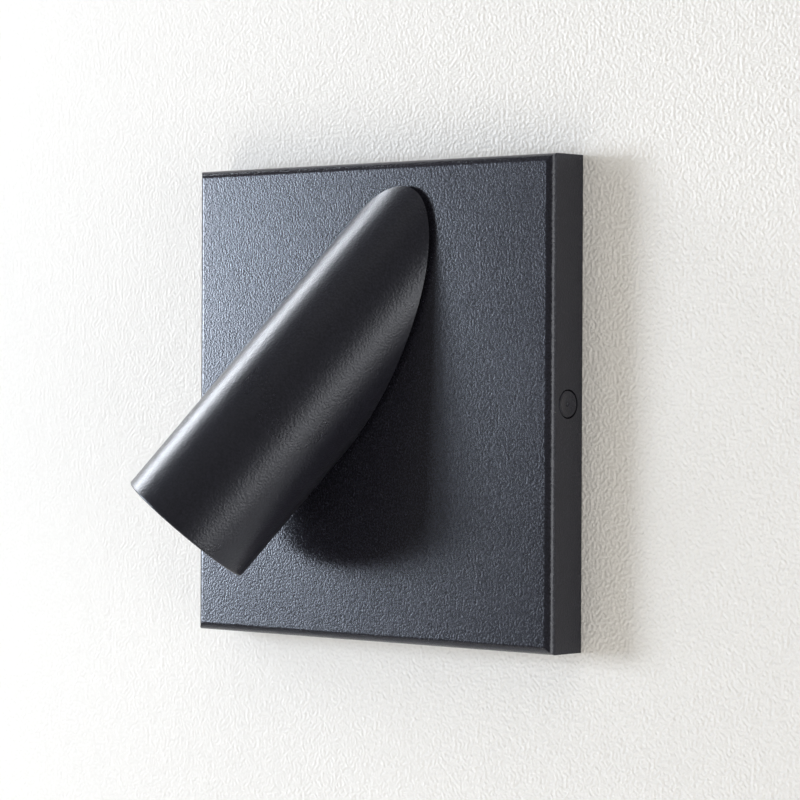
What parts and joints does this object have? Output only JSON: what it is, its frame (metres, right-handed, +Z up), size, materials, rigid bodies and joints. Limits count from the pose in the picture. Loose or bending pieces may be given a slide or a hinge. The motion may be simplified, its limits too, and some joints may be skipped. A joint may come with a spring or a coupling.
{
  "type": "pivoting spotlight wall light",
  "caption": "Square wall plate with a side push-button and a short round spotlight tube, cut obliquely, that swivels flat against the plate.",
  "frame": {"origin": "middle of the square plate on the wall plane", "axes": "+X right along the wall, +Y into the wall, +Z up; the light faces -Y"},
  "size_m": [0.12, 0.0558, 0.12],
  "materials": {
    "powder_coat": "fine-textured powder coat, satin",
    "button_coat": "fine-textured powder coat, satin",
    "zinc_steel": "zinc plated",
    "black_screw": "black oxide",
    "spring_steel": "bright",
    "turned_steel": "turned, nickel plated",
    "brass": "turned",
    "aluminium": "milled",
    "black_ring": "black anodised",
    "black_rubber": "matt",
    "nylon": "natural moulded",
    "white_plastic": "moulded",
    "holder_plastic": "moulded",
    "circuit_board": "solder resist",
    "led_board": "white solder resist",
    "component_black": "moulded",
    "transformer": "ferrite with a taped winding",
    "capacitor": "sleeved can",
    "plunger": "moulded",
    "thermal_pad": "matt",
    "led_chip": "phosphor under clear resin",
    "clear_lens": "clear moulded",
    "front_glass": "clear",
    "green_wire": "sheath",
    "brown_wire": "sheath",
    "white_wire": "sheath"
  },
  "bodies": {
    "root": {"cover_plate": "powder_coat", "mounting_bracket": "zinc_steel", "earth_screw": "zinc_steel", "earth_washer": "zinc_steel", "driver_screws": "zinc_steel", "carrier_screws": "zinc_steel", "terminal_screws": "zinc_steel", "cover_screws": "black_screw", "button_spring": "spring_steel", "stop_pin": "spring_steel", "terminal_tubes": "brass", "cable_bush": "black_rubber", "swivel_bush": "nylon", "switch_carrier": "nylon", "friction_washer": "nylon", "terminal_block": "white_plastic", "driver_case": "white_plastic", "driver_lid": "white_plastic", "driver_connectors": "white_plastic", "driver_board": "circuit_board", "switch_board": "circuit_board", "driver_chip": "component_black", "driver_inductor": "component_black", "switch_body": "component_black", "driver_transformer": "transformer", "driver_capacitors": "capacitor", "earth_lead": "green_wire", "mains_leads": "brown_wire", "switch_leads": "white_wire", "driver_cable": "white_wire"},
    "button": {"push_button": "button_coat", "switch_plunger": "plunger"},
    "head": {"head_shell": "powder_coat", "swivel_spindle": "turned_steel", "spindle_screws": "zinc_steel", "disc_spring": "spring_steel", "stop_washer": "zinc_steel", "swivel_nut": "zinc_steel", "heat_sink": "aluminium", "thermal_pad": "thermal_pad", "led_board": "led_board", "led_chip": "led_chip", "led_screws": "zinc_steel", "lens_holder": "holder_plastic", "lens": "clear_lens", "glass_seal": "black_rubber", "front_glass": "front_glass", "bezel_ring": "black_ring", "head_cable": "white_wire"}
  },
  "joints": [
    {"name": "head_swivel", "type": "hinge", "parent": "root", "child": "head", "pos_m": [0, -0.0129, 0.025], "axis": [0, 1, 0], "range_deg": [-197.2, 132.8]},
    {"name": "button_press", "type": "slide", "parent": "root", "child": "button", "axis": [-1, 0, 0], "range_m": [0, 0.0006], "stiffness_N_per_m": 800, "springref_m": -0.0012, "deforming": ["button_spring"]}
  ]
}
